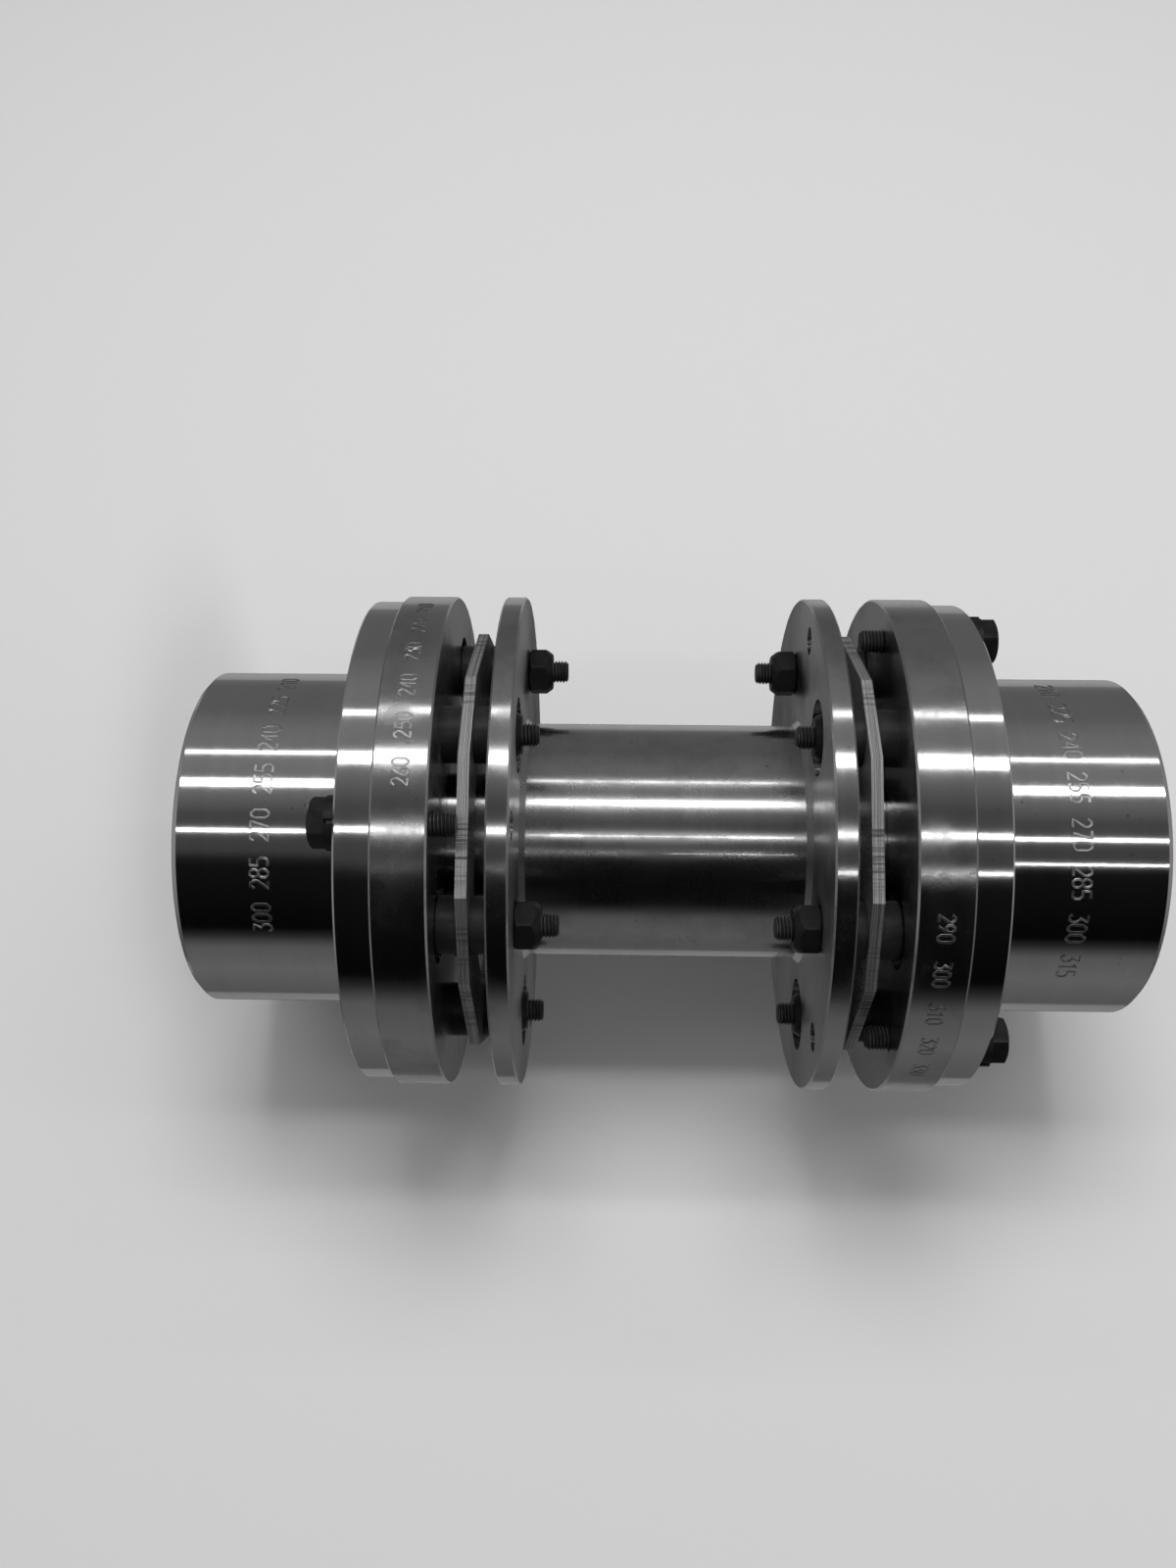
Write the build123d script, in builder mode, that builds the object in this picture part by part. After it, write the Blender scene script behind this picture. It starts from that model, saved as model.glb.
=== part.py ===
from build123d import *
import os
from math import cos, isclose, radians

# A double disc coupling for two shafts in line. Two bored hubs carry adapter rings, and a tubular
# centre member runs between them. At each end a laminated disc pack joins the adapter to the centre
# member: six bolts go through the pack, and every other one belongs to the adapter.
#
# The coupling stands on one hub's end face, its axis up the Z axis. The pieces are modelled on the
# upper end and written twice, because the lower end is the upper one turned end for end.
# All lengths are in millimetres and all angles in degrees.

# The size across, and the radial distances that the other circles keep from it and from each other
coupling_d = 137.0          # adapters and centre flanges
rim_step = 1.5              # from the adapter's rim down to the hub flange's
rim_to_cap = 7.1            # from the hub flange's rim to the cap screws' circle
cap_to_barrel = 13.4        # from the cap screws' circle to the barrel
rim_to_bolts = 20.1         # from the adapter's rim to the pack bolts' circle
bolts_to_tube = 15.6        # from the pack bolts' circle to the tube
bolts_to_pack_bore = 8.4
bolts_to_pack_corner = 8.5  # from a bolt to the flat outside it
corner_to_side = 1.45       # how much further in a pack's long sides are
tube_wall = 4.0
register_wall = 2.0         # left between the adapter's register and its wide holes
bore_d = 50.8               # a 2 inch shaft

# Lengths along the axis
waist_length = 76.4         # clear length of tube between the centre flanges
centre_flange_t = 5.7
spacer_t = 5.35
disc_t = 0.27
disc_count = 9
disc_groove = 0.055         # line between two discs at the edge of the pack
adapter_t = 13.8
hub_flange_t = 8.9
barrel_length = 45.6        # hub beyond its flange
spigot_length = 7.8         # hub inside its adapter

# Fits and edges
fit_gap = 0.1               # beside anything round that seats in a hole
nose_gap = 1.0              # round the nose where it runs through the adapter
nose_end_gap = 2.5          # from the nose to the hub
spigot_end_gap = 0.5
edge_break = 0.5            # chamfer on the rims
barrel_chamfer = 1.6
root_bead = 1.5             # in the corner between tube and centre flange
groove_depth = 0.3

# Pack bolts and their nuts
bolt_d = 6.35
bolt_af = 11.1              # across flats of bolt heads and cap screws
bolt_head_t = 4.0
nut_af = 11.9
nut_t = 6.7
thread_beyond_nut = 4.4
bolt_hole_gap = 0.15        # beside a bolt in its hole
socket_room = 3.0           # round a nut or head in the hole that it sits in
spacer_d = 14.8
pocket_d = 17.0             # for the adapter bolts' heads, under the hub flange

# Cap screws that hold each hub to its adapter
cap_head_t = 4.3
cap_length = 31.0
lock_washer_d = 13.6
lock_washer_t = 2.4
lock_washer_slit = 1.2
cap_turns = (30, 0, 0)      # where each cap screw's head came to rest
jack_hole_d = 7.5           # in the centre flange, in line with a cap screw

# Keyway of a 2 inch shaft
key_width = 12.7
key_depth = 5.6             # beyond the bore's wall

# Angles of the first hole of each pattern. Each has three holes, a third of a turn apart.
adapter_bolt_start = 0
centre_bolt_start = 60
cap_start = 90
pattern_count = 3
pattern_step = 360 / pattern_count

# Circles that follow
hub_flange_d = coupling_d - 2 * rim_step
cap_circle_d = hub_flange_d - 2 * rim_to_cap
barrel_d = cap_circle_d - 2 * cap_to_barrel
bolt_circle_d = coupling_d - 2 * rim_to_bolts
tube_d = bolt_circle_d - 2 * bolts_to_tube
pack_bore_d = bolt_circle_d - 2 * bolts_to_pack_bore
pack_corner_reach = bolt_circle_d / 2 + bolts_to_pack_corner
pack_side_reach = pack_corner_reach - corner_to_side

# Places along the axis, as distances from the middle
flange_inner = waist_length / 2
flange_outer = flange_inner + centre_flange_t
pack_t = disc_count * disc_t + (disc_count - 1) * disc_groove
pack_inner = flange_outer + spacer_t
pack_outer = pack_inner + pack_t
adapter_inner = pack_outer + spacer_t
adapter_outer = adapter_inner + adapter_t
hub_inner = adapter_outer - spigot_length
flange_face = adapter_outer + hub_flange_t
hub_end = flange_face + barrel_length
nose_end = hub_inner - nose_end_gap
# The adapter is as thick under a bolt head as a centre flange, so all pack bolts are one length
pocket_floor = adapter_inner + centre_flange_t

# Sizes that follow
bolt_hole_d = bolt_d + 2 * bolt_hole_gap
thread_hole_d = bolt_d + 2 * fit_gap
bolt_length = pack_t + 2 * spacer_t + centre_flange_t + nut_t + thread_beyond_nut
head_hole_d = nut_af / cos(radians(30)) + 2 * socket_room
nose_hole_d = tube_d + 2 * nose_gap
register_d = bolt_circle_d - head_hole_d - 2 * register_wall

os.makedirs("parts", exist_ok=True)
end_for_end = Axis((0, 0, hub_end), (1, 0, 0))


def level(distance):
    """Plane across the axis, at a distance from the middle of the coupling."""
    return Plane.XY.offset(hub_end + distance)


def bolt_place(circle_d, angle):
    """One place on a bolt circle, with no turn of its own."""
    return PolarLocations(circle_d / 2, 1, start_angle=angle, rotate=False)


def pattern(circle_d, start):
    """The three places of a hole pattern."""
    return PolarLocations(circle_d / 2, pattern_count, start_angle=start)


def write_both_ends(piece, name):
    """Write a piece of the upper end, and its twin on the lower end."""
    for end, turn in (("upper", 0), ("lower", 180)):
        twin = piece.part.rotate(end_for_end, turn)
        twin.label = f"{end}_{name}"
        export_step(twin, f"parts/{twin.label}.step")


# Centre member: a tube with a nose at each end, and a thin flange fixed on it behind each nose. A flange
# has three holes for its own bolts, three wide ones round the nuts of the adapter's bolts, and three
# jack holes. A narrow bead fills the corner where it meets the tube.
with BuildPart() as centre_tube:
    with BuildSketch(level(-nose_end)):
        Circle(tube_d / 2)
        Circle(tube_d / 2 - tube_wall, mode=Mode.SUBTRACT)
    extrude(amount=2 * nose_end)
centre_tube.part.label = "centre_tube"
export_step(centre_tube.part, "parts/centre_tube.step")

with BuildPart() as centre_flange:
    with BuildSketch(level(flange_inner)):
        Circle(coupling_d / 2)
        with pattern(bolt_circle_d, centre_bolt_start):
            Circle(bolt_hole_d / 2, mode=Mode.SUBTRACT)
        with pattern(bolt_circle_d, adapter_bolt_start):
            Circle(head_hole_d / 2, mode=Mode.SUBTRACT)
        with pattern(cap_circle_d, cap_start):
            Circle(jack_hole_d / 2, mode=Mode.SUBTRACT)
    extrude(amount=centre_flange_t)
    flange_circles = centre_flange.edges().filter_by(GeomType.CIRCLE)
    chamfer(flange_circles.filter_by(lambda edge: isclose(edge.radius, coupling_d / 2)), edge_break)
    with BuildSketch(level(flange_inner)):
        Circle(tube_d / 2 + root_bead)
    extrude(amount=-root_bead, taper=45)
    with BuildSketch(level(flange_inner - root_bead)):
        Circle(tube_d / 2)
    extrude(amount=root_bead + centre_flange_t, mode=Mode.SUBTRACT)
write_both_ends(centre_flange, "centre_flange")

# Hub: spigot, flange and barrel turned in one piece, then bored and cut with a keyway
with BuildPart() as hub:
    with BuildSketch(level(hub_inner)):
        Circle(register_d / 2 - fit_gap)
    extrude(amount=spigot_length)
    with BuildSketch(level(adapter_outer)):
        Circle(hub_flange_d / 2)
    extrude(amount=hub_flange_t)
    chamfer(hub.faces().sort_by(Axis.Z)[-1].edges(), edge_break)
    with BuildSketch(level(adapter_outer)):
        Circle(barrel_d / 2)
    extrude(amount=hub_flange_t + barrel_length)
    chamfer(hub.faces().sort_by(Axis.Z)[-1].edges(), barrel_chamfer)
    with BuildSketch(level(hub_inner)):
        Circle(bore_d / 2)
        Rectangle(key_width, bore_d / 2 + key_depth, align=(Align.CENTER, Align.MIN))
    extrude(amount=hub_end - hub_inner, mode=Mode.SUBTRACT)
    with BuildSketch(level(adapter_outer)):
        with pattern(cap_circle_d, cap_start):
            Circle(bolt_hole_d / 2)
    extrude(amount=hub_flange_t, mode=Mode.SUBTRACT)
write_both_ends(hub, "hub")

# Adapter: a ring that seats on the hub's spigot and lets the centre member's nose run inside it
with BuildPart() as adapter:
    with BuildSketch(level(adapter_inner)):
        Circle(coupling_d / 2)
        Circle(nose_hole_d / 2, mode=Mode.SUBTRACT)
        with pattern(bolt_circle_d, adapter_bolt_start):
            Circle(bolt_hole_d / 2, mode=Mode.SUBTRACT)
        with pattern(bolt_circle_d, centre_bolt_start):
            Circle(head_hole_d / 2, mode=Mode.SUBTRACT)
        with pattern(cap_circle_d, cap_start):
            Circle(thread_hole_d / 2, mode=Mode.SUBTRACT)
    extrude(amount=adapter_t)
    adapter_circles = adapter.edges().filter_by(GeomType.CIRCLE)
    chamfer(adapter_circles.filter_by(lambda edge: isclose(edge.radius, coupling_d / 2)), edge_break)
    with BuildSketch(level(hub_inner - spigot_end_gap)):
        Circle(register_d / 2)
    extrude(amount=spigot_length + spigot_end_gap, mode=Mode.SUBTRACT)
    with BuildSketch(level(pocket_floor)):
        with pattern(bolt_circle_d, adapter_bolt_start):
            Circle(pocket_d / 2)
    extrude(amount=adapter_outer - pocket_floor, mode=Mode.SUBTRACT)
write_both_ends(adapter, "adapter")


def disc_outline(inset):
    """A disc's outline: six sides between the bolts, and a square-cut corner outside each bolt."""
    RegularPolygon(pack_side_reach - inset, 6, major_radius=False)
    RegularPolygon(pack_corner_reach - inset, 6, major_radius=False, rotation=30, mode=Mode.INTERSECT)


# Disc pack: thin spring-steel discs clamped in one stack, with a fine line between each two
with BuildPart() as disc_pack:
    for disc in range(disc_count):
        disc_floor = pack_inner + disc * (disc_t + disc_groove)
        with BuildSketch(level(disc_floor)):
            disc_outline(0)
        extrude(amount=disc_t)
        if disc + 1 < disc_count:
            with BuildSketch(level(disc_floor + disc_t)):
                disc_outline(groove_depth)
            extrude(amount=disc_groove)
    with BuildSketch(level(pack_inner)):
        Circle(pack_bore_d / 2)
        with PolarLocations(bolt_circle_d / 2, 2 * pattern_count, start_angle=adapter_bolt_start):
            Circle(bolt_hole_d / 2)
    extrude(amount=pack_t, mode=Mode.SUBTRACT)
write_both_ends(disc_pack, "disc_pack")

# Spacers: one on each bolt on each side of the pack, so that only the bolt circle is clamped
for side_name, spacer_floor in (("inner_spacers", flange_outer), ("outer_spacers", pack_outer)):
    with BuildPart() as spacers:
        with BuildSketch(level(spacer_floor)):
            with PolarLocations(bolt_circle_d / 2, 2 * pattern_count, start_angle=adapter_bolt_start):
                Circle(spacer_d / 2)
                Circle(bolt_hole_d / 2, mode=Mode.SUBTRACT)
        extrude(amount=spacer_t)
    write_both_ends(spacers, side_name)


def hexagon(across_flats, turn):
    """Hexagon with a flat facing the X axis, then turned."""
    RegularPolygon(across_flats / 2, 6, major_radius=False, rotation=30 + turn)


def hex_screw(place, bearing, head_t, length, turn):
    """Screw whose head bears on a face, with its shank towards the middle of the coupling."""
    with BuildPart() as screw:
        with BuildSketch(level(bearing)):
            with place:
                hexagon(bolt_af, turn)
        extrude(amount=head_t)
        with BuildSketch(level(bearing - length)):
            with place:
                Circle(bolt_d / 2)
        extrude(amount=length)
    return screw


def hex_nut(place, bearing, turn):
    """Nut whose outward face bears on a face at this distance."""
    with BuildPart() as nut:
        with BuildSketch(level(bearing - nut_t)):
            with place:
                hexagon(nut_af, turn)
                Circle(thread_hole_d / 2, mode=Mode.SUBTRACT)
        extrude(amount=nut_t)
    return nut


# Pack bolts and nuts. A centre bolt's nut bears on the centre flange, and its head stands in a wide hole
# of the adapter. An adapter bolt's head is in the adapter's pocket, and its nut bears on a spacer.
for number in range(pattern_count):
    centre_place = bolt_place(bolt_circle_d, centre_bolt_start + number * pattern_step)
    adapter_place = bolt_place(bolt_circle_d, adapter_bolt_start + number * pattern_step)
    centre_bolt = hex_screw(centre_place, adapter_inner, bolt_head_t, bolt_length, 0)
    write_both_ends(centre_bolt, f"centre_bolt_{number + 1}")
    centre_nut = hex_nut(centre_place, flange_inner, 0)
    write_both_ends(centre_nut, f"centre_nut_{number + 1}")
    adapter_bolt = hex_screw(adapter_place, pocket_floor, bolt_head_t, bolt_length, 0)
    write_both_ends(adapter_bolt, f"adapter_bolt_{number + 1}")
    adapter_nut = hex_nut(adapter_place, flange_outer, 0)
    write_both_ends(adapter_nut, f"adapter_nut_{number + 1}")

# Cap screws hold the hub to the adapter, each over a split lock washer
with BuildPart() as lock_washers:
    with BuildSketch(level(flange_face)):
        with pattern(cap_circle_d, cap_start):
            Circle(lock_washer_d / 2)
            Circle(bolt_hole_d / 2, mode=Mode.SUBTRACT)
            Rectangle(lock_washer_d, lock_washer_slit, align=(Align.MIN, Align.CENTER), mode=Mode.SUBTRACT)
    extrude(amount=lock_washer_t)
write_both_ends(lock_washers, "lock_washers")

for number, turn in enumerate(cap_turns):
    cap_place = bolt_place(cap_circle_d, cap_start + number * pattern_step)
    cap_screw = hex_screw(cap_place, flange_face + lock_washer_t, cap_head_t, cap_length, turn)
    write_both_ends(cap_screw, f"cap_screw_{number + 1}")
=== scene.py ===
# %% [markdown]
# # A disc coupling in Blender
# The solids of the coupling come from its CAD model, already in place and in metres. They are the frame:
# nothing here moves them. This lesson gives the turned pieces the look of steel off the lathe, makes the
# bolts, nuts and screws again with real threads and chamfers, stacks the disc packs sheet by sheet,
# engraves plain degree numbers, and sets the light that polished round steel needs. The view is set to
# Standard, so that a grey that a material asks for is the grey that shows.

# %% Load the frame
from math import atan2, ceil, cos, hypot, pi, radians, sin, tan
import bmesh
import bpy
from mathutils import Matrix, Vector


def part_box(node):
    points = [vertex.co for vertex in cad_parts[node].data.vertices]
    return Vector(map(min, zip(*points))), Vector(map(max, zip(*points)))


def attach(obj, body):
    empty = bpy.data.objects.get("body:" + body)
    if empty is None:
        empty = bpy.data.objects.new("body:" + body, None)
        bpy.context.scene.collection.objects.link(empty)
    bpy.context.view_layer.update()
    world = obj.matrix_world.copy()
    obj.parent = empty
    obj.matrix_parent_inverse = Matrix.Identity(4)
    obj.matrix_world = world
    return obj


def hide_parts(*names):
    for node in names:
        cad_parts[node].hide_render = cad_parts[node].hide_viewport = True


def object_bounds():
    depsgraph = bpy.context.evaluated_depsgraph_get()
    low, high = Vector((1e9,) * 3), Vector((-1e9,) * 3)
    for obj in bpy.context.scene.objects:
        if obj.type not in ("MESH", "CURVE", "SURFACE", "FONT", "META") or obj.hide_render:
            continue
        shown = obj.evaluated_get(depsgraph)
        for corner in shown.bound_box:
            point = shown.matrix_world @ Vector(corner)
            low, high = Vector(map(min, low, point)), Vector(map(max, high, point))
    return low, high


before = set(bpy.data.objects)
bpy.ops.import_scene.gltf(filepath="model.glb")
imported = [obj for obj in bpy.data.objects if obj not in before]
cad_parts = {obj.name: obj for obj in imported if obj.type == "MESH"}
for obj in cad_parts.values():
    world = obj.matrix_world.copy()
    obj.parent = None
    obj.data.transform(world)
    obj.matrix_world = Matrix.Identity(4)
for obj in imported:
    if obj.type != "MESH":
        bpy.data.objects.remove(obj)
cad_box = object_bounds()
bpy.context.scene.view_settings.view_transform = "Standard"
mm = 0.001
micron = mm / 1000
print(f"{len(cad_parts)} CAD nodes, and the box is {cad_box}")

# %% [markdown]
# ## Camera
# A coupling like this is best looked at lying on a bench, but it stands on one end here. So the camera
# rolls a quarter turn: its right is the coupling's axis. It looks almost squarely at the middle from
# under 40 cm, which is close, and that is why the rings at the two ends show their inner faces.
# Three small turns finish the aim, and the lens shift is the little that the framing needs.

# %% Camera
low_corner, high_corner = (Vector(corner) for corner in cad_box)
middle = (low_corner + high_corner) / 2
view_angle = radians(-87)
to_camera = Vector((cos(view_angle), sin(view_angle), 0))
up_axis = Vector((0, 0, 1))
picture_up = to_camera.cross(up_axis)
squarely = Matrix((up_axis, picture_up, to_camera)).transposed()
pan, tilt, roll = radians(1.5), radians(3.86), radians(0.66)
aim = Matrix.Rotation(pan, 3, "Y") @ Matrix.Rotation(tilt, 3, "X") @ Matrix.Rotation(roll, 3, "Z")
camera_distance = 374.7 * mm
below_middle = 13.6 * mm

camera = bpy.data.objects.new("camera", bpy.data.cameras.new("camera"))
bpy.context.scene.collection.objects.link(camera)
camera.matrix_world = (squarely @ aim).to_4x4()
camera.location = middle + camera_distance * to_camera - below_middle * up_axis
camera.data.sensor_width = 36
camera.data.lens = 30
camera.data.shift_x = 0.0051
camera.data.shift_y = -0.0213
camera.data.clip_start = 10 * mm
bpy.context.scene.camera = camera
print("camera stands", [round(value, 4) for value in camera.location])

# %% [markdown]
# ## Helpers for materials
# A node material is a chain of small machines. `put` adds one of them and fills its inputs: a number or a
# colour is set, and the output of another node is linked. The other helpers save typing for the four
# machines that every finish here uses: arithmetic, a ramp of greys, a mix of two greys, and noise that
# can be stretched, which stands for everything that tools and hands leave on metal.

# %% Add a node
def put(tree, kind, inputs=None, **options):
    """Adds a node, sets its options and fills its inputs."""
    made = tree.nodes.new(kind)
    for option, value in options.items():
        setattr(made, option, value)
    for name, value in (inputs or {}).items():
        socket = made.inputs[name]
        if isinstance(value, bpy.types.NodeSocket):
            tree.links.new(value, socket)
        else:
            socket.default_value = value
    return made


def new_material(name):
    """An empty material, with its node tree and output."""
    material = bpy.data.materials.new(name)
    material.use_nodes = True
    tree = material.node_tree
    tree.nodes.clear()
    return material, tree, put(tree, "ShaderNodeOutputMaterial")


print("helper ready: put")

# %% Arithmetic, ramps and mixes
def sums(tree, operation, *values):
    """One step of arithmetic."""
    return put(tree, "ShaderNodeMath", dict(enumerate(values)), operation=operation).outputs["Value"]


def ramp(tree, factor, *stops):
    """Colour ramp in grey. Each stop is (position, brightness)."""
    made = put(tree, "ShaderNodeValToRGB", {"Fac": factor})
    points = made.color_ramp.elements
    while len(points) < len(stops):
        points.new(1)
    for point, (position, grey) in zip(points, stops):
        point.position = position
        point.color = (grey, grey, grey, 1)
    return made.outputs["Color"]


def blend(tree, factor, first, second):
    """From the first colour to the second as the factor rises from 0 to 1. A number stands for a grey."""
    made = put(tree, "ShaderNodeMix", data_type="RGBA")
    sockets = [socket for socket in made.inputs if socket.enabled]
    for socket, value in zip(sockets, (factor, first, second)):
        if isinstance(value, bpy.types.NodeSocket):
            tree.links.new(value, socket)
        else:
            socket.default_value = value if socket is sockets[0] else (value, value, value, 1)
    return next(socket for socket in made.outputs if socket.enabled)


print("helpers ready: sums, ramp, blend")

# %% Noise
def noise(tree, place, scale, detail, roughness=0.5):
    """Even noise. The larger the scale, the finer it is."""
    return put(tree, "ShaderNodeTexNoise", {"Vector": place, "Scale": scale, "Detail": detail,
               "Roughness": roughness}).outputs["Fac"]


def drawn_noise(tree, split, height, across, along, detail, roughness=0.5):
    """Noise drawn out into lines: it changes at one pace across X and Y, and at another with height."""
    stretched = put(tree, "ShaderNodeCombineXYZ", {
        "X": sums(tree, "MULTIPLY", split.outputs["X"], across),
        "Y": sums(tree, "MULTIPLY", split.outputs["Y"], across),
        "Z": sums(tree, "MULTIPLY", height, along)})
    return noise(tree, stretched.outputs["Vector"], 1, detail, roughness)


print("helpers ready: noise, drawn_noise")

# %% [markdown]
# ## Floor and backdrop
# Both are plain pale card, and both fade out into the pale world, so no edge or corner of them shows. The
# floor carries the shadow under the standing coupling. It is kept faint, because the camera sees it
# beside the lower hub, almost from its edge. The backdrop stands just behind the rims, leaning on
# nothing, and shows the soft shadow that white packing foam would. It shows only its front, so a camera
# behind it sees the coupling, and neither card gets in the way of light or reflections. The floor's
# centre lies a little in front, so that it has faded before it would meet the backdrop in a seam.

# %% Pale card
card_colour = (0.82, 0.82, 0.82, 1)


def fading_card_finish(name, fade_start, fade_end, strength, one_sided):
    """Matt pale card that turns clear with distance from its middle."""
    material, tree, output = new_material(name)
    place = put(tree, "ShaderNodeTexCoord").outputs["Object"]
    distance = put(tree, "ShaderNodeVectorMath", {0: place}, operation="LENGTH").outputs["Value"]
    limits = {"Value": distance, "From Min": fade_end, "From Max": fade_start}
    eased = put(tree, "ShaderNodeMapRange", limits, interpolation_type="SMOOTHERSTEP")
    fade = sums(tree, "MULTIPLY", eased.outputs["Result"], strength)
    if one_sided:
        front = sums(tree, "SUBTRACT", 1, put(tree, "ShaderNodeNewGeometry").outputs["Backfacing"])
        fade = sums(tree, "MULTIPLY", fade, front)
    clear = put(tree, "ShaderNodeBsdfTransparent").outputs["BSDF"]
    pale = put(tree, "ShaderNodeBsdfDiffuse", {"Color": card_colour}).outputs["BSDF"]
    mixed = put(tree, "ShaderNodeMixShader", {"Fac": fade, 1: clear, 2: pale})
    tree.links.new(mixed.outputs["Shader"], output.inputs["Surface"])
    return material


def card(name, size, place, facing, finish):
    """A square sheet that nothing but the camera sees."""
    sheet = bmesh.new()
    bmesh.ops.create_grid(sheet, x_segments=1, y_segments=1, size=size / 2)
    mesh = bpy.data.meshes.new(name)
    sheet.to_mesh(mesh)
    sheet.free()
    mesh.materials.append(finish)
    thing = bpy.data.objects.new(name, mesh)
    bpy.context.scene.collection.objects.link(thing)
    thing.matrix_world = facing.to_track_quat("Z", "Y").to_matrix().to_4x4()
    thing.location = place
    thing.visible_glossy = False
    thing.visible_shadow = False
    thing.visible_diffuse = False
    return thing


print("helper ready: card")

# %% Place the cards
rim_radius = high_corner.x
backdrop_gap = 3 * mm
backdrop_angle = radians(68)
behind = Vector((cos(backdrop_angle), sin(backdrop_angle), 0))
backdrop_centre = middle + (rim_radius + backdrop_gap) * behind
floor_forward = 25 * mm
floor_centre = low_corner.z * up_axis - floor_forward * behind
floor_size, backdrop_size = 0.5, 3.0
floor_finish = fading_card_finish(
    "floor_card", fade_start=20 * mm, fade_end=88 * mm, strength=0.25, one_sided=False)
backdrop_finish = fading_card_finish(
    "backdrop_card", fade_start=0.5, fade_end=1.4, strength=1, one_sided=True)
card("floor", floor_size, floor_centre, up_axis, floor_finish)
card("backdrop", backdrop_size, backdrop_centre, -behind, backdrop_finish)
print("the backdrop stands", round((rim_radius + backdrop_gap) / mm, 1), "mm behind the axis")

# %% [markdown]
# ## Lamps
# Round polished steel shows the room, drawn out into lines along its length. So the light is made of four
# long strips beside the axis: their reflections are the bright lines. An angle gives each its place, from
# the camera's side towards the top of the picture. The thinnest strip hangs at one end, so it shows on
# one half only. Two broad weak ones light the far side. Matt surfaces need more even light than strips
# give, and shadows need it too, so two soft round lamps are added that steel doesn't mirror.

# %% Strip lamps
lamp_distance = 1.2
strip_length = 2.0


def hang_lamp(name, place, turned, shape, size):
    """An area lamp."""
    lamp = bpy.data.objects.new(name, bpy.data.lights.new(name, "AREA"))
    bpy.context.scene.collection.objects.link(lamp)
    lamp.data.shape = shape
    lamp.data.size = size
    lamp.matrix_world = Matrix.Translation(place) @ turned
    return lamp


def strip(name, angle, width, radiance, length=strip_length, along=0):
    """A long lamp beside the axis, as bright as its radiance says whatever its size."""
    outward = cos(radians(angle)) * to_camera + sin(radians(angle)) * picture_up
    place = middle + lamp_distance * outward + along * up_axis
    turned = Matrix((up_axis.cross(outward), up_axis, outward)).transposed().to_4x4()
    lamp = hang_lamp(name, place, turned, "RECTANGLE", width)
    lamp.data.size_y = length
    lamp.data.energy = radiance * pi * width * length


strip("strip_high", angle=57, width=0.045, radiance=4.6)
strip("strip_broad", angle=35, width=0.10, radiance=7)
strip("strip_front", angle=3, width=0.03, radiance=8)
strip("strip_thin", angle=-13, width=0.008, radiance=14, length=1.1, along=0.6)
strip("strip_rear_left", angle=150, width=0.5, radiance=0.16)
strip("strip_rear_right", angle=210, width=0.5, radiance=0.16)
print("strips hang", lamp_distance, "m from the axis")

# %% Soft lamps
soft_size = 0.7


def soft_lamp(name, outward, distance, watts):
    """A round lamp for matt surfaces and shadows, which steel doesn't mirror."""
    turned = outward.to_track_quat("Z", "Y").to_matrix().to_4x4()
    lamp = hang_lamp(name, middle + distance * outward, turned, "DISK", soft_size)
    lamp.data.energy = watts
    lamp.visible_glossy = False


soft_lamp("soft_key", (to_camera + picture_up).normalized(), distance=1.5, watts=9)
soft_lamp("soft_overhead", up_axis, distance=1.3, watts=5)

# %% [markdown]
# ## World
# What lies between the lamps matters as much as they do. To the eye the world is a plain pale studio, and
# matt surfaces get the same from all sides, only dimmer. Steel sees a grey room with a black cloth hung
# below the camera, because without something dark to reflect, steel looks like grey plastic. Room and
# cloth are a ramp by angle round the axis, in the same angles as the strips. Blender would pick bright
# spots of the world to sample, without knowing that steel sees it differently, so that is switched off.

# %% Cloth by angle
world = bpy.data.worlds.new("studio")
bpy.context.scene.world = world
world.use_nodes = True
world.cycles.sampling_method = "NONE"
sky = world.node_tree
sky.nodes.clear()
direction = put(sky, "ShaderNodeTexCoord").outputs["Generated"]
turned = put(sky, "ShaderNodeVectorRotate", {"Vector": direction, "Angle": -view_angle},
             rotation_type="Z_AXIS")
parts = put(sky, "ShaderNodeSeparateXYZ", {"Vector": turned.outputs["Vector"]})
around = sums(sky, "ARCTAN2", parts.outputs["Y"], parts.outputs["X"])
fraction = sums(sky, "MULTIPLY_ADD", around, 1 / (2 * pi), 0.5)


def at(angle):
    """Where an angle from the camera's side towards the picture's top lies on the ramp."""
    return ((-angle / 360) + 0.5) % 1


cloth_top, cloth_foot = -20, -66
cloth = ramp(
    sky, fraction,
    (at(179), 0.10), (at(160), 0.20), (at(150), 0.22), (at(128), 0.15), (at(95), 0.16), (at(75), 0.24),
    (at(50), 0.26), (at(28), 0.20), (at(14), 0.09), (at(-10), 0.07), (at(-15), 0.02),
    (at(cloth_top), 0.008), (at(cloth_foot), 0.002),
    (at(-72), 0.03), (at(-82), 0.15), (at(-103), 0.19), (at(-150), 0.10), (at(-179), 0.08),
)
print("the cloth is black from", cloth_top, "to", cloth_foot, "degrees")

# %% What each kind of ray sees
end_grey = 0.35
matt_grey = 0.12
backdrop_grey = 0.68
steepness = sums(sky, "ABSOLUTE", parts.outputs["Z"])
ends_begin, ends_full = 0.75, 0.95
ends_limits = {"Value": steepness, "From Min": ends_begin, "From Max": ends_full}
ends_of_room = put(sky, "ShaderNodeMapRange", ends_limits)
seen_by_steel = blend(sky, ends_of_room.outputs["Result"], cloth, end_grey)
rays = put(sky, "ShaderNodeLightPath")
plain = blend(sky, rays.outputs["Is Camera Ray"], matt_grey, backdrop_grey)
seen = blend(sky, rays.outputs["Is Glossy Ray"], plain, seen_by_steel)
glow = put(sky, "ShaderNodeBackground", {"Color": seen, "Strength": 1})
put(sky, "ShaderNodeOutputWorld", {"Surface": glow.outputs["Background"]})
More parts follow.
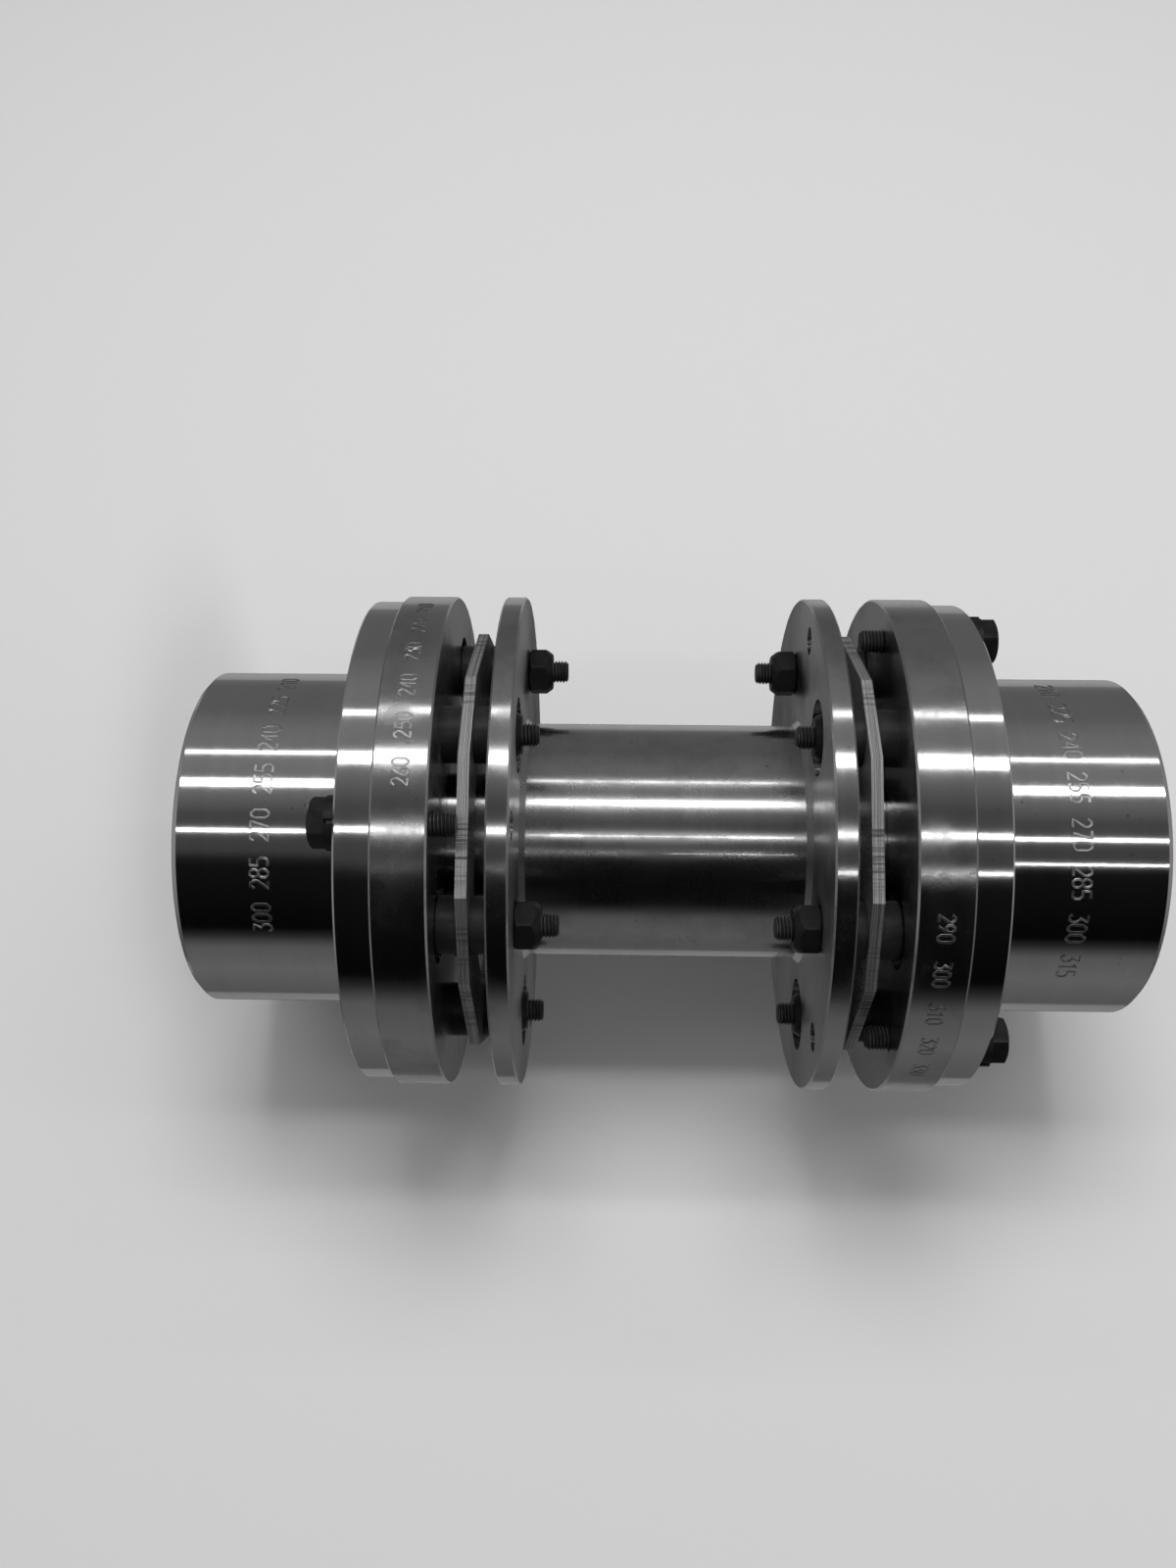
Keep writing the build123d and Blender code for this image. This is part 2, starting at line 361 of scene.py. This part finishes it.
print("the world has", len(sky.nodes), "nodes")

# %% [markdown]
# ## Turned steel
# Every round face here was cut on a lathe, and the tool left a fine thread of lines round the axis. They
# do two things. Each line is too fine to see alone, but together they smear a reflection along the axis
# and leave it sharp across, which a shader calls anisotropy. And they vary a little in depth, which shows
# as faint bands. One trick gives lines on barrels and faces alike: noise that changes fast with height
# plus radius, and slowly across. The hubs are polished clean, the adapters and flanges are handled and a
# little stained, and the tube is duller, pitted and has a film of oil that gives back the sharp lines.
# The broad faces of the flanges were cut more coarsely than their rims, so they are duller. The normal's
# share along Z tells the two apart.

# %% Marks on turned steel
fine_line_depth = 20 * micron


def tool_marks(tree, split):
    """Fine lines and broader bands round the axis, on barrels and faces alike."""
    squares = [sums(tree, "POWER", split.outputs[axis], 2) for axis in "XY"]
    from_axis = sums(tree, "SQRT", sums(tree, "ADD", *squares))
    feed = sums(tree, "ADD", from_axis, split.outputs["Z"])
    fine_lines = drawn_noise(tree, split, feed, across=14, along=3200, detail=2, roughness=0.6)
    bands = drawn_noise(tree, split, feed, across=5, along=320, detail=3, roughness=0.6)
    return fine_lines, bands


def pits(tree, place, amount):
    """Where small dark pits lie, in patches."""
    speckle = put(tree, "ShaderNodeTexVoronoi", {"Vector": place, "Scale": 420, "Randomness": 1})
    pit = ramp(tree, speckle.outputs["Distance"], (0.08, 1), (0.16, 0))
    patch = ramp(tree, noise(tree, place, scale=140, detail=2), (0.6, 0), (0.68, 1))
    return sums(tree, "MULTIPLY", sums(tree, "MULTIPLY", pit, patch), amount)


print("marks ready: tool_marks, pits")

# %% Turned steel
dark_band, light_band, stained = 0.93, 1.05, 0.62
pit_grey = 0.05


def turned_steel(name, grey, roughness, haze, pitting, oil=0.0, dull_faces=0.0):
    """Steel off the lathe. Haze is handling marks and stains, and oil is a film over it."""
    material, tree, output = new_material(name)
    surface = put(tree, "ShaderNodeTexCoord")
    place = surface.outputs["Object"]
    facing = put(tree, "ShaderNodeSeparateXYZ", {"Vector": surface.outputs["Normal"]})
    broad_face = sums(tree, "ABSOLUTE", facing.outputs["Z"])
    fine_lines, bands = tool_marks(tree, put(tree, "ShaderNodeSeparateXYZ", {"Vector": place}))
    handled = ramp(tree, noise(tree, place, scale=55, detail=6, roughness=0.65), (0.46, 0), (0.66, 1))
    stain = sums(tree, "MULTIPLY", handled, haze)
    shade = blend(tree, bands, grey * dark_band, grey * light_band)
    shade = blend(tree, stain, shade, grey * stained)
    shade = blend(tree, pits(tree, place, pitting), shade, pit_grey)
    rough = roughness
    for mark, share in ((fine_lines, 0.06), (stain, 0.22), (bands, 0.04), (broad_face, dull_faces)):
        rough = sums(tree, "MULTIPLY_ADD", mark, share, rough)
    height = sums(tree, "MULTIPLY_ADD", bands, 0.6, fine_lines)
    bump = put(tree, "ShaderNodeBump", {"Height": height, "Strength": 0.35, "Distance": fine_line_depth})
    grain = put(tree, "ShaderNodeTangent", direction_type="RADIAL", axis="Z")
    steel = put(tree, "ShaderNodeBsdfPrincipled", {
        "Base Color": shade, "Metallic": 1, "Roughness": rough, "Normal": bump.outputs["Normal"],
        "Tangent": grain.outputs["Tangent"], "Anisotropic": 0.92, "Anisotropic Rotation": 0.25,
        "Coat Weight": oil, "Coat Roughness": 0.05, "Coat IOR": 1.7})
    tree.links.new(steel.outputs["BSDF"], output.inputs["Surface"])
    return material


ring_finish = {"grey": 0.50, "roughness": 0.12, "haze": 0.6, "pitting": 0.5}
hub_steel = turned_steel("hub_steel", grey=0.58, roughness=0.07, haze=0.12, pitting=0.5)
adapter_steel = turned_steel("adapter_steel", **ring_finish)
flange_steel = turned_steel("flange_steel", **ring_finish, dull_faces=0.13)
tube_steel = turned_steel("tube_steel", grey=0.44, roughness=0.19, haze=0.5, pitting=0.9, oil=0.8)
print("steels:", hub_steel.name, adapter_steel.name, flange_steel.name, tube_steel.name)

# %% Dress the turned pieces
def dress(material, slot_name, *names):
    """Gives a material to CAD nodes as they are."""
    for name in names:
        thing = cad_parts[name]
        thing.data.materials.clear()
        thing.data.materials.append(material)
    print(material.name, "on", ", ".join(names))


dress(hub_steel, "turned_steel", "lower_hub", "upper_hub")
dress(adapter_steel, "turned_steel", "lower_adapter", "upper_adapter")
dress(flange_steel, "turned_steel", "lower_centre_flange", "upper_centre_flange")
dress(tube_steel, "turned_steel", "centre_tube")

# %% [markdown]
# ## Black oxide
# The screws, nuts and thick washers are blackened: a bath turns the skin of the steel into a dark oxide,
# and oil gives it a dull shine. It wears off first where a spanner or a nut rubs. On flats that is next to
# nothing, but the crests of the threads show a little bare steel, so threads get a black of their own.

# %% Black oxide
grit_depth = 20 * micron
bare_grey = 0.4


def black_oxide(name, grey, roughness, wear):
    """Blackened steel, worn to bare metal on its sharpest edges."""
    material, tree, output = new_material(name)
    place = put(tree, "ShaderNodeTexCoord").outputs["Object"]
    cloud = noise(tree, place, scale=260, detail=4)
    edges = put(tree, "ShaderNodeNewGeometry").outputs["Pointiness"]
    sharp_edge = ramp(tree, edges, (0.53, 0), (0.6, 1))
    rubbed = sums(tree, "MULTIPLY", sharp_edge, ramp(tree, cloud, (0.4, 0.2), (0.62, 1)))
    shade = blend(tree, cloud, grey * 0.85, grey * 1.2)
    shade = blend(tree, sums(tree, "MULTIPLY", rubbed, wear), shade, bare_grey)
    rough = sums(tree, "MULTIPLY_ADD", cloud, 0.10, roughness)
    grit = noise(tree, place, scale=5200, detail=2)
    bump = put(tree, "ShaderNodeBump", {"Height": grit, "Strength": 0.35, "Distance": grit_depth})
    oxide = put(tree, "ShaderNodeBsdfPrincipled", {
        "Base Color": shade, "Metallic": 0.4, "Roughness": rough, "Normal": bump.outputs["Normal"],
        "Specular IOR Level": 0.12})
    tree.links.new(oxide.outputs["BSDF"], output.inputs["Surface"])
    return material


screw_black = black_oxide("screw_black", grey=0.016, roughness=0.32, wear=0.03)
thread_black = black_oxide("thread_black", grey=0.03, roughness=0.30, wear=0.6)
washer_black = black_oxide("washer_black", grey=0.03, roughness=0.36, wear=0.03)
ends = ("lower", "upper")
for end in ends:
    dress(washer_black, "black_oxide", f"{end}_inner_spacers", f"{end}_outer_spacers")
    dress(screw_black, "black_oxide", f"{end}_lock_washers")

# %% [markdown]
# ## Round shells
# Nuts, screws and discs are all stacks of closed loops with the same number of points, so one helper
# that skins a stack makes them all. Another finishes a mesh: everything is shaded smooth, and edges that
# turn more sharply than a set angle stay crisp.

# %% Helpers for round shells
def skin(sheet, rings, closed_start=True, closed_end=True):
    """Joins rings that have the same number of points into one surface."""
    rows = [[sheet.verts.new(point) for point in ring] for ring in rings]
    count = len(rows[0])
    for row, following in zip(rows, rows[1:]):
        for k in range(count):
            sheet.faces.new((row[k], row[(k + 1) % count], following[(k + 1) % count], following[k]))
    if closed_start:
        sheet.faces.new(list(reversed(rows[0])))
    if closed_end:
        sheet.faces.new(rows[-1])


def circle(radius, height, count):
    """Points of a level circle."""
    turns = [2 * pi * k / count for k in range(count)]
    return [(radius * cos(turn), radius * sin(turn), height) for turn in turns]


def finished_mesh(name, sheet, material, sharp):
    """Turns a bmesh into a smooth mesh with its sharp edges kept."""
    mesh = bpy.data.meshes.new(name)
    bmesh.ops.recalc_face_normals(sheet, faces=sheet.faces)
    sheet.to_mesh(mesh)
    sheet.free()
    mesh.polygons.foreach_set("use_smooth", [True] * len(mesh.polygons))
    mesh.set_sharp_from_angle(angle=sharp)
    mesh.materials.append(material)
    return mesh


print("helpers ready: skin, circle, finished_mesh")

# %% [markdown]
# ## Hexagon
# A hexagon cut from bar has its corners turned off at 30 degrees, and where that cone meets the six flat
# sides it leaves six curved edges. Drawn by angle, that is simple: at each angle the side stands at the
# hexagon's own distance, and the further out it is, the lower the cone has cut it. The nuts lock by a
# squeezed top, which is a much steeper cone. A cone is kept as two numbers: where it starts, as a share of
# the width across flats, and how fast it falls.

# %% Hexagon
hex_steps = 96
corner_rounding = 0.985
plain_cone = (0.465, tan(radians(30)))
lock_cone = (0.42, tan(radians(52)))
square_end = (0.465, 0)
bore_bevel = 0.5 * mm
smallest_circle = 0.2 * mm


def hex_outline(across, corner_first):
    """Points round a hexagon with its corners barely rounded, each with its distance from the middle."""
    outline = []
    for k in range(hex_steps):
        angle = 2 * pi * k / hex_steps
        past_flat = (angle + (0 if corner_first else pi / 6)) % (pi / 3) - pi / 6
        reach = min(across / 2 / cos(past_flat), corner_rounding * across / 2 / cos(pi / 6))
        outline.append((reach * cos(angle), reach * sin(angle), reach))
    return outline


def turned_off(end, inward, across, cone, outline):
    """The loop that a cone cuts on the six sides, at one end of a hexagon."""
    start, slope = cone
    return [(x, y, end + inward * slope * max(0, reach - start * across)) for x, y, reach in outline]


def hex_shell(sheet, across, start, end, start_cone, end_cone, bore, corner_first):
    """A hexagon from one height to another, with a cone at each end."""
    outline = hex_outline(across, corner_first)
    inside = max(bore, smallest_circle)
    rings = [circle(inside, start, hex_steps), circle(start_cone[0] * across, start, hex_steps)]
    rings.append(turned_off(start, 1, across, start_cone, outline))
    rings.append(turned_off(end, -1, across, end_cone, outline))
    rings += [circle(end_cone[0] * across, end, hex_steps), circle(inside, end, hex_steps)]
    if bore:
        rings += [circle(bore - bore_bevel, end - bore_bevel, hex_steps), circle(inside, start, hex_steps)]
    skin(sheet, rings, not bore, not bore)


print("helper ready: hex_shell")

# %% [markdown]
# ## Thread
# A thread is a rod whose radius swings between root and crest as height and angle wind on together. These
# are quarter-inch bolts with 28 threads to the inch, which is a fine thread: it holds better where things
# shake. Root and crest both have a narrow flat, and the end is turned to a point, so the first turn
# fades in.

# %% Thread
thread_pitch = 25.4 / 28 * mm
thread_depth = 0.58 * thread_pitch
thread_steps = 30
rows_per_turn = 9
flank_slope = 2.6
root_flat = 0.15
shank_radius = 3.175 * mm
plain_radius = 0.99 * shank_radius
point_cut = 0.25 * mm


def rod(sheet, start, end, thread_length):
    """A round rod from one height to another, threaded at the far end."""
    root = shank_radius - thread_depth
    thread_start = end - thread_length
    rings = [circle(plain_radius, height, thread_steps) for height in (start, thread_start)]
    rows = ceil(thread_length / thread_pitch * rows_per_turn)
    for row in range(rows + 1):
        height = end - thread_length * (1 - row / rows)
        ring = []
        for k in range(thread_steps):
            wind = (height / thread_pitch - k / thread_steps) % 1
            climb = min(1, max(0, flank_slope * abs(wind - 0.5) - root_flat))
            here = min(root + thread_depth * climb, root - point_cut + (end - height))
            turn = 2 * pi * k / thread_steps
            ring.append((here * cos(turn), here * sin(turn), height))
        rings.append(ring)
    skin(sheet, rings)


print("thread pitch", round(thread_pitch / mm, 3), "mm")

# %% [markdown]
# ## Fasteners
# Each fastener's CAD node gives its place, its length and how wide its hexagon is, and whether a corner or
# a flat looks along X. The new mesh takes all of that from the node's box and stands in its place. Those
# of the upper end are turned over, because the two ends of the coupling mirror each other.

# %% Make a fastener
head_height = {"cap_screw": 4.3 * mm, "bolt": 4.0 * mm}
threaded_length = {"cap_screw": 7.5 * mm, "bolt": 5.8 * mm}
nut_clearance = 0.1 * mm
fastener_sharp = radians(28)


def nut_mesh(across, height, corner_first):
    """A lock nut: it bears at height 0, and its top is coned."""
    sheet = bmesh.new()
    hex_shell(sheet, across, 0, height, plain_cone, lock_cone, shank_radius + nut_clearance, corner_first)
    return finished_mesh("nut_form", sheet, screw_black, fastener_sharp)


def screw_mesh(kind, across, length, corner_first):
    """A hexagon head below height 0, where it bears, and a rod with its thread above."""
    sheet = bmesh.new()
    hex_shell(sheet, across, -head_height[kind], 0, plain_cone, square_end, 0, corner_first)
    head_faces = len(sheet.faces)
    rod(sheet, 0, length - head_height[kind], threaded_length[kind])
    for face in list(sheet.faces)[head_faces:]:
        face.material_index = 1
    mesh = finished_mesh(f"{kind}_form", sheet, screw_black, fastener_sharp)
    mesh.materials.append(thread_black)
    return mesh


print("heads are", {kind: round(height / mm, 1) for kind, height in head_height.items()}, "mm high")

# %% Set each fastener on its CAD node
def set_fastener(kind, node):
    """Makes a piece that stands for a fastener's CAD node."""
    low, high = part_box(node)
    size = high - low
    across, corner_first = min(size.x, size.y), size.x > size.y
    if kind == "nut":
        mesh = nut_mesh(across, size.z, corner_first)
    else:
        mesh = screw_mesh(kind, across, size.z, corner_first)
    piece = bpy.data.objects.new(f"detailed_{node}", mesh)
    bpy.context.scene.collection.objects.link(piece)
    head = head_height.get(kind, 0)
    bearing = low.z + head
    if node.startswith("upper"):
        piece.matrix_world = Matrix.Rotation(pi, 4, "X")
        bearing = high.z - head
    piece.location = ((low.x + high.x) / 2, (low.y + high.y) / 2, bearing)
    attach(piece, "root")
    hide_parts(node)
    return piece


kinds = {"centre_nut": "nut", "adapter_nut": "nut", "centre_bolt": "bolt", "adapter_bolt": "bolt",
         "cap_screw": "cap_screw"}
fasteners = []
for end in ends:
    for number in (1, 2, 3):
        fasteners += [set_fastener(kind, f"{end}_{name}_{number}") for name, kind in kinds.items()]
print(len(fasteners), "fasteners with", sum(len(piece.data.polygons) for piece in fasteners), "faces")

# %% [markdown]
# ## Spring steel
# The packs are what the coupling is bought for. Nine discs of spring steel bend together as the shafts
# move out of line, and carry the torque in their plane. What shows is their edges: cut bright by the
# press, each a little lighter or darker than its neighbour, and here and there marked by short nicks
# across the whole stack.

# %% Spring steel
nick_depth = 40 * micron
dark_disc, light_disc, nick_grey = 0.28, 0.7, 0.12


def spring_steel():
    """Edges of pressed discs, in layers, with nicks across them in places."""
    material, tree, output = new_material("spring_steel")
    place = put(tree, "ShaderNodeTexCoord").outputs["Object"]
    split = put(tree, "ShaderNodeSeparateXYZ", {"Vector": place})
    height = split.outputs["Z"]
    layers = drawn_noise(tree, split, height, across=20, along=5200, detail=0)
    each_disc = ramp(tree, layers, (0.35, 0), (0.65, 1))
    scores = drawn_noise(tree, split, height, across=1500, along=60, detail=2)
    in_places = drawn_noise(tree, split, height, across=38, along=1, detail=1)
    nicks = sums(tree, "MULTIPLY", ramp(tree, scores, (0.48, 0), (0.6, 1)),
                 ramp(tree, in_places, (0.46, 0), (0.56, 1)))
    shade = blend(tree, each_disc, dark_disc, light_disc)
    shade = blend(tree, sums(tree, "MULTIPLY", nicks, 0.85), shade, nick_grey)
    rough = sums(tree, "MULTIPLY_ADD", each_disc, 0.12, 0.36)
    bump = put(tree, "ShaderNodeBump", {"Height": nicks, "Strength": 0.6, "Distance": nick_depth})
    steel = put(tree, "ShaderNodeBsdfPrincipled", {
        "Base Color": shade, "Metallic": 0.75, "Roughness": rough, "Normal": bump.outputs["Normal"]})
    tree.links.new(steel.outputs["BSDF"], output.inputs["Surface"])
    return material


disc_edge_steel = spring_steel()
print("steel for the packs:", disc_edge_steel.name)

# %% [markdown]
# ## Disc packs
# The discs are thin sheets pressed to one outline: long sides between the bolts, and a square-cut corner
# at each. No two lie edge to edge exactly, and that is what makes the edge of a pack look like a closed
# book. So every disc is its own sheet, a hair smaller than the outline, with a hair of air to the next.

# %% Outline of a disc
bolt_angles = [radians(60 * k) for k in range(6)]
point_spacing = radians(3.75)
points_each_side = 7


def disc_outline(side_reach, corner_reach):
    """The disc's outline by angle, from how far its sides and its corners reach."""
    half_corner = atan2(side_reach / corner_reach - cos(pi / 6), sin(pi / 6))
    offsets = [step * point_spacing for step in range(-points_each_side, points_each_side + 1)]
    offsets += [-half_corner, half_corner]
    points = []
    for angle in sorted({bolt + offset for bolt in bolt_angles for offset in offsets}):
        from_bolt = (angle + pi / 6) % (pi / 3) - pi / 6
        reach = min(corner_reach / cos(from_bolt), side_reach / cos(pi / 6 - abs(from_bolt)))
        points.append((angle, reach))
    return points


pack_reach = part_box("lower_disc_pack")[1]
print("a disc has", len(disc_outline(pack_reach.y, pack_reach.x)), "points")

# %% A pack of nine discs
disc_count = 9
air_share = 0.28
largest_inset = 0.1 * mm
stagger = 2.4
weld_distance = 0.1 * micron
disc_sharp = radians(8)
pack_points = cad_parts["lower_disc_pack"].data.vertices
pack_bore = min(hypot(point.co.x, point.co.y) for point in pack_points)


def pack_mesh(node, seed):
    """Nine discs between the two broad faces of the CAD pack."""
    low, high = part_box(node)
    thickness = (high.z - low.z) / (disc_count + (disc_count - 1) * air_share)
    sheet = bmesh.new()
    for k in range(disc_count):
        bottom = low.z + (1 + air_share) * thickness * k
        top = bottom + thickness
        inset = largest_inset * (0.5 + 0.5 * sin(seed + stagger * k))
        outline = disc_outline(high.y - inset, high.x - inset)
        outer = [(reach * cos(angle), reach * sin(angle)) for angle, reach in outline]
        inner = [(pack_bore * cos(angle), pack_bore * sin(angle)) for angle, reach in outline]
        loops = [(inner, bottom), (outer, bottom), (outer, top), (inner, top), (inner, bottom)]
        skin(sheet, [[(x, y, z) for x, y in points] for points, z in loops], False, False)
    bmesh.ops.remove_doubles(sheet, verts=sheet.verts, dist=weld_distance)
    return finished_mesh(f"{node}_form", sheet, disc_edge_steel, disc_sharp)


for end, seed in (("lower", 0.3), ("upper", 1.9)):
    node = f"{end}_disc_pack"
    pack = bpy.data.objects.new(f"{end}_disc_stack", pack_mesh(node, seed))
    bpy.context.scene.collection.objects.link(pack)
    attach(pack, "root")
    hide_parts(node)
    print(pack.name, "has", len(pack.data.polygons), "faces")

# %% [markdown]
# ## Engraved numbers
# A marking machine scratches its figures with one point, in strokes, and throws up a small burr on both
# sides of each. It is the burrs that catch the light, so a figure shows as a double line: bright where
# the steel is dark, and dark where it is bright. Here the figures are plain degrees, as on a dial. Each
# is one bent line without lifting the point, in figure heights, and a 9 is a 6 turned round.

# %% Strokes of the figures
strokes = {
    "0": [(0.2, 0), (0, 0.2), (0, 0.8), (0.2, 1), (0.36, 1), (0.56, 0.8), (0.56, 0.2), (0.36, 0), (0.2, 0)],
    "1": [(0.12, 0.78), (0.34, 1), (0.34, 0)],
    "2": [(0, 0.8), (0.18, 1), (0.38, 1), (0.56, 0.82), (0.56, 0.62), (0, 0), (0.56, 0)],
    "3": [(0.02, 1), (0.56, 1), (0.26, 0.58), (0.4, 0.58), (0.56, 0.42), (0.56, 0.18), (0.38, 0),
          (0.16, 0), (0, 0.16)],
    "4": [(0.44, 0), (0.44, 1), (0, 0.3), (0.6, 0.3)],
    "5": [(0.54, 1), (0.04, 1), (0.02, 0.56), (0.36, 0.58), (0.56, 0.42), (0.56, 0.18), (0.38, 0),
          (0, 0.04)],
    "6": [(0.46, 1), (0.06, 0.5), (0, 0.3), (0.02, 0.14), (0.18, 0), (0.38, 0), (0.56, 0.16),
          (0.56, 0.36), (0.38, 0.52), (0.18, 0.52), (0.02, 0.36)],
    "7": [(0, 1), (0.56, 1), (0.18, 0)],
    "8": [(0.18, 0.54), (0.02, 0.7), (0.02, 0.86), (0.16, 1), (0.4, 1), (0.54, 0.86), (0.54, 0.7),
          (0.38, 0.54), (0.18, 0.54), (0, 0.38), (0, 0.16), (0.16, 0), (0.4, 0), (0.56, 0.16),
          (0.56, 0.38), (0.38, 0.54)],
}
widest_figure = 0.56
strokes["9"] = [(widest_figure - x, 1 - y) for x, y in strokes["6"]]
stroke_width = 0.66 * mm
burr_height = 0.075 * mm
burr_profile = [(-0.5, -0.3), (-0.28, 1), (0, -0.1), (0.28, 1), (0.5, -0.3)]
print("figures:", " ".join(strokes))

# %% Scratch one stroke
def fine_line(line, longest):
    """The same line with a point at least every so often, so that it can bend round the barrel."""
    points = [line[0]]
    for (x, y), (next_x, next_y) in zip(line, line[1:]):
        run, climb = next_x - x, next_y - y
        pieces = max(1, ceil(hypot(run, climb) / longest))
        points += [(x + run * k / pieces, y + climb * k / pieces) for k in range(1, pieces + 1)]
    return points


def scratch(sheet, line, wrap):
    """Two ridges with a valley between, swept along the line and wrapped on the steel."""
    rows = []
    for k, (x, y) in enumerate(line):
        before, after = line[max(k - 1, 0)], line[min(k + 1, len(line) - 1)]
        along = Vector((after[0] - before[0], after[1] - before[1])).normalized()
        row = []
        for side, rise in burr_profile:
            offset = side * stroke_width
            point = wrap(x - along.y * offset, y + along.x * offset, rise * burr_height)
            row.append(sheet.verts.new(point))
        rows.append(row)
    for row, following in zip(rows, rows[1:]):
        for k in range(len(burr_profile) - 1):
            sheet.faces.new((row[k], row[k + 1], following[k + 1], following[k]))


print("helpers ready: fine_line, scratch")

# %% [markdown]
# ## Rings of numbers
# Each number stands at its own angle, and its top looks towards its end of the coupling. A hub carries
# one every 15 degrees and the smaller ones on an adapter come every 10. They run along one side only, and
# none stands where a rim touches the coupling's box, because there a burr would stick out of it.

# %% Steel of the burrs
torn_depth = 30 * micron


def burr_steel():
    """Torn steel along a scratch: bare, and rougher than the turned face."""
    material, tree, output = new_material("burr_steel")
    torn = noise(tree, put(tree, "ShaderNodeTexCoord").outputs["Object"], scale=2600, detail=3)
    bump = put(tree, "ShaderNodeBump", {"Height": torn, "Strength": 0.5, "Distance": torn_depth})
    shade = blend(tree, torn, 0.3, 0.55)
    steel = put(tree, "ShaderNodeBsdfPrincipled", {
        "Base Color": shade, "Metallic": 1, "Roughness": 0.28, "Normal": bump.outputs["Normal"]})
    tree.links.new(steel.outputs["BSDF"], output.inputs["Surface"])
    return material


torn_steel = burr_steel()
print("steel for the figures:", torn_steel.name)

# %% Engrave a ring of numbers
figure_width = 0.8
figure_step = 0.64
standing_proud = 0.02 * mm
longest_piece = 1.2 * mm
figure_sharp = radians(60)


def number_ring(name, radius, height, size, values, upright):
    """Degrees along a barrel or rim, each at its own angle, read from outside."""
    sheet = bmesh.new()
    sense = 1 if upright else -1
    for value in values:
        text = str(value)
        width = (len(text) - 1) * figure_step + widest_figure * figure_width

        def wrap(x, y, rise):
            turn = radians(value) + sense * x / radius
            reach = radius + standing_proud + rise
            return Vector((reach * cos(turn), reach * sin(turn), height + sense * y))

        for place, figure in enumerate(text):
            start = place * figure_step - width / 2
            drawn = [((x * figure_width + start) * size, (y - 0.5) * size) for x, y in strokes[figure]]
            scratch(sheet, fine_line(drawn, longest_piece), wrap)
    piece = bpy.data.objects.new(name, finished_mesh(f"{name}_form", sheet, torn_steel, figure_sharp))
    bpy.context.scene.collection.objects.link(piece)
    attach(piece, "root")
    print(name, "shows", *values)


print("helper ready: number_ring")

# %% Number the hubs and adapters
barrel_middle = 22.8 * mm
hub_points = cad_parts["lower_hub"].data.vertices
barrel_radius = max(hypot(point.co.x, point.co.y) for point in hub_points if point.co.z < barrel_middle)
hub_figure = 4.6 * mm
adapter_figure = 3.9 * mm
hub_values = {"lower": range(210, 315, 15), "upper": range(210, 330, 15)}
adapter_values = {"lower": range(210, 270, 10), "upper": range(290, 340, 10)}
barrel_heights = {"lower": low_corner.z + barrel_middle, "upper": high_corner.z - barrel_middle}
for end in ends:
    low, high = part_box(f"{end}_adapter")
    rim_height = (low.z + high.z) / 2
    barrel_height = barrel_heights[end]
    upright = end == "upper"
    number_ring(f"{end}_hub_degrees", barrel_radius, barrel_height, hub_figure, hub_values[end], upright)
    number_ring(
        f"{end}_adapter_degrees", rim_radius, rim_height, adapter_figure, adapter_values[end], upright)
